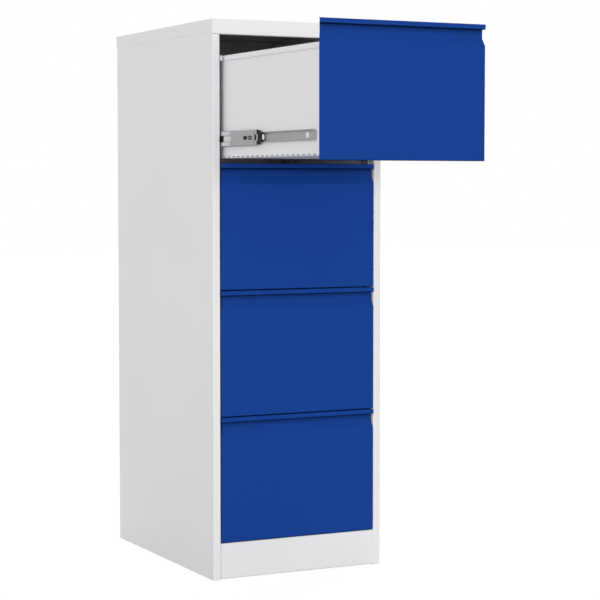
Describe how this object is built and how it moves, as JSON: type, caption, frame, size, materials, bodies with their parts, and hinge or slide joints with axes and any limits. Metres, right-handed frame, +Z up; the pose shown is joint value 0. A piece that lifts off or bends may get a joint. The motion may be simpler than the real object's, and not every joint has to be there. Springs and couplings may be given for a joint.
{
  "type": "filing cabinet",
  "caption": "Tall steel filing cabinet with deep drawers on telescopic ball-bearing slides and full-width pull lips.",
  "frame": {"origin": "on the floor, at the centre of the carcass's footprint", "axes": "+X to the right seen from the front, +Y to the back, +Z up; the drawers open along -Y"},
  "size_m": [0.452, 1.13, 1.33],
  "materials": {
    "white_paint": "off-white powder coat, low gloss",
    "blue_paint": "deep blue powder coat, low gloss",
    "zinc_steel": "bright zinc-plated steel",
    "bright_steel": "polished steel balls in plated cages",
    "black_plastic": "moulded black plastic"
  },
  "bodies": {
    "carcass": {"left_side_panel": "white_paint", "right_side_panel": "white_paint", "back_panel": "white_paint", "top_cap": "white_paint", "base_tray": "white_paint", "plinth": "white_paint", "front_upright_left": "zinc_steel", "front_upright_right": "zinc_steel", "rear_upright_left": "zinc_steel", "rear_upright_right": "zinc_steel", "levelling_feet": "zinc_steel", "drawer_1_cabinet_rail_left": "zinc_steel", "drawer_1_cabinet_rail_right": "zinc_steel", "drawer_2_cabinet_rail_left": "zinc_steel", "drawer_2_cabinet_rail_right": "zinc_steel", "drawer_3_cabinet_rail_left": "zinc_steel", "drawer_3_cabinet_rail_right": "zinc_steel", "drawer_4_cabinet_rail_left": "zinc_steel", "drawer_4_cabinet_rail_right": "zinc_steel"},
    "drawer_1": {"drawer_1_front": "blue_paint", "drawer_1_liner": "white_paint", "drawer_1_box": "white_paint", "drawer_1_drawer_rail_left": "zinc_steel", "drawer_1_drawer_rail_right": "zinc_steel"},
    "drawer_1_middle": {"drawer_1_middle_rail_left": "zinc_steel", "drawer_1_middle_rail_right": "zinc_steel", "drawer_1_rail_bumpers": "black_plastic"},
    "drawer_1_outer_cage": {"drawer_1_outer_cages": "bright_steel"},
    "drawer_1_inner_cage": {"drawer_1_inner_cages": "bright_steel"},
    "drawer_2": {"drawer_2_front": "blue_paint", "drawer_2_liner": "white_paint", "drawer_2_box": "white_paint", "drawer_2_drawer_rail_left": "zinc_steel", "drawer_2_drawer_rail_right": "zinc_steel"},
    "drawer_2_middle": {"drawer_2_middle_rail_left": "zinc_steel", "drawer_2_middle_rail_right": "zinc_steel", "drawer_2_rail_bumpers": "black_plastic"},
    "drawer_2_outer_cage": {"drawer_2_outer_cages": "bright_steel"},
    "drawer_2_inner_cage": {"drawer_2_inner_cages": "bright_steel"},
    "drawer_3": {"drawer_3_front": "blue_paint", "drawer_3_liner": "white_paint", "drawer_3_box": "white_paint", "drawer_3_drawer_rail_left": "zinc_steel", "drawer_3_drawer_rail_right": "zinc_steel"},
    "drawer_3_middle": {"drawer_3_middle_rail_left": "zinc_steel", "drawer_3_middle_rail_right": "zinc_steel", "drawer_3_rail_bumpers": "black_plastic"},
    "drawer_3_outer_cage": {"drawer_3_outer_cages": "bright_steel"},
    "drawer_3_inner_cage": {"drawer_3_inner_cages": "bright_steel"},
    "drawer_4": {"drawer_4_front": "blue_paint", "drawer_4_liner": "white_paint", "drawer_4_box": "white_paint", "drawer_4_drawer_rail_left": "zinc_steel", "drawer_4_drawer_rail_right": "zinc_steel"},
    "drawer_4_middle": {"drawer_4_middle_rail_left": "zinc_steel", "drawer_4_middle_rail_right": "zinc_steel", "drawer_4_rail_bumpers": "black_plastic"},
    "drawer_4_outer_cage": {"drawer_4_outer_cages": "bright_steel"},
    "drawer_4_inner_cage": {"drawer_4_inner_cages": "bright_steel"}
  },
  "joints": [
    {"name": "drawer_1_slide", "type": "slide", "parent": "carcass", "child": "drawer_1", "axis": [0, -1, 0], "range_m": [-0.508, 0]},
    {"name": "drawer_1_middle_slide", "type": "slide", "parent": "carcass", "child": "drawer_1_middle", "axis": [0, -1, 0], "range_m": [-0.254, 0]},
    {"name": "drawer_1_outer_cage_slide", "type": "slide", "parent": "carcass", "child": "drawer_1_outer_cage", "axis": [0, -1, 0], "range_m": [-0.127, 0]},
    {"name": "drawer_1_inner_cage_slide", "type": "slide", "parent": "carcass", "child": "drawer_1_inner_cage", "axis": [0, -1, 0], "range_m": [-0.381, 0]},
    {"name": "drawer_2_slide", "type": "slide", "parent": "carcass", "child": "drawer_2", "axis": [0, -1, 0], "range_m": [0, 0.508]},
    {"name": "drawer_2_middle_slide", "type": "slide", "parent": "carcass", "child": "drawer_2_middle", "axis": [0, -1, 0], "range_m": [0, 0.254]},
    {"name": "drawer_2_outer_cage_slide", "type": "slide", "parent": "carcass", "child": "drawer_2_outer_cage", "axis": [0, -1, 0], "range_m": [0, 0.127]},
    {"name": "drawer_2_inner_cage_slide", "type": "slide", "parent": "carcass", "child": "drawer_2_inner_cage", "axis": [0, -1, 0], "range_m": [0, 0.381]},
    {"name": "drawer_3_slide", "type": "slide", "parent": "carcass", "child": "drawer_3", "axis": [0, -1, 0], "range_m": [0, 0.508]},
    {"name": "drawer_3_middle_slide", "type": "slide", "parent": "carcass", "child": "drawer_3_middle", "axis": [0, -1, 0], "range_m": [0, 0.254]},
    {"name": "drawer_3_outer_cage_slide", "type": "slide", "parent": "carcass", "child": "drawer_3_outer_cage", "axis": [0, -1, 0], "range_m": [0, 0.127]},
    {"name": "drawer_3_inner_cage_slide", "type": "slide", "parent": "carcass", "child": "drawer_3_inner_cage", "axis": [0, -1, 0], "range_m": [0, 0.381]},
    {"name": "drawer_4_slide", "type": "slide", "parent": "carcass", "child": "drawer_4", "axis": [0, -1, 0], "range_m": [0, 0.508]},
    {"name": "drawer_4_middle_slide", "type": "slide", "parent": "carcass", "child": "drawer_4_middle", "axis": [0, -1, 0], "range_m": [0, 0.254]},
    {"name": "drawer_4_outer_cage_slide", "type": "slide", "parent": "carcass", "child": "drawer_4_outer_cage", "axis": [0, -1, 0], "range_m": [0, 0.127]},
    {"name": "drawer_4_inner_cage_slide", "type": "slide", "parent": "carcass", "child": "drawer_4_inner_cage", "axis": [0, -1, 0], "range_m": [0, 0.381]}
  ],
  "couplings": [
    {"joint": "drawer_1_middle_slide", "follows": "drawer_1_slide", "ratio": 0.5},
    {"joint": "drawer_1_outer_cage_slide", "follows": "drawer_1_slide", "ratio": 0.25},
    {"joint": "drawer_1_inner_cage_slide", "follows": "drawer_1_slide", "ratio": 0.75},
    {"joint": "drawer_2_middle_slide", "follows": "drawer_2_slide", "ratio": 0.5},
    {"joint": "drawer_2_outer_cage_slide", "follows": "drawer_2_slide", "ratio": 0.25},
    {"joint": "drawer_2_inner_cage_slide", "follows": "drawer_2_slide", "ratio": 0.75},
    {"joint": "drawer_3_middle_slide", "follows": "drawer_3_slide", "ratio": 0.5},
    {"joint": "drawer_3_outer_cage_slide", "follows": "drawer_3_slide", "ratio": 0.25},
    {"joint": "drawer_3_inner_cage_slide", "follows": "drawer_3_slide", "ratio": 0.75},
    {"joint": "drawer_4_middle_slide", "follows": "drawer_4_slide", "ratio": 0.5},
    {"joint": "drawer_4_outer_cage_slide", "follows": "drawer_4_slide", "ratio": 0.25},
    {"joint": "drawer_4_inner_cage_slide", "follows": "drawer_4_slide", "ratio": 0.75}
  ]
}
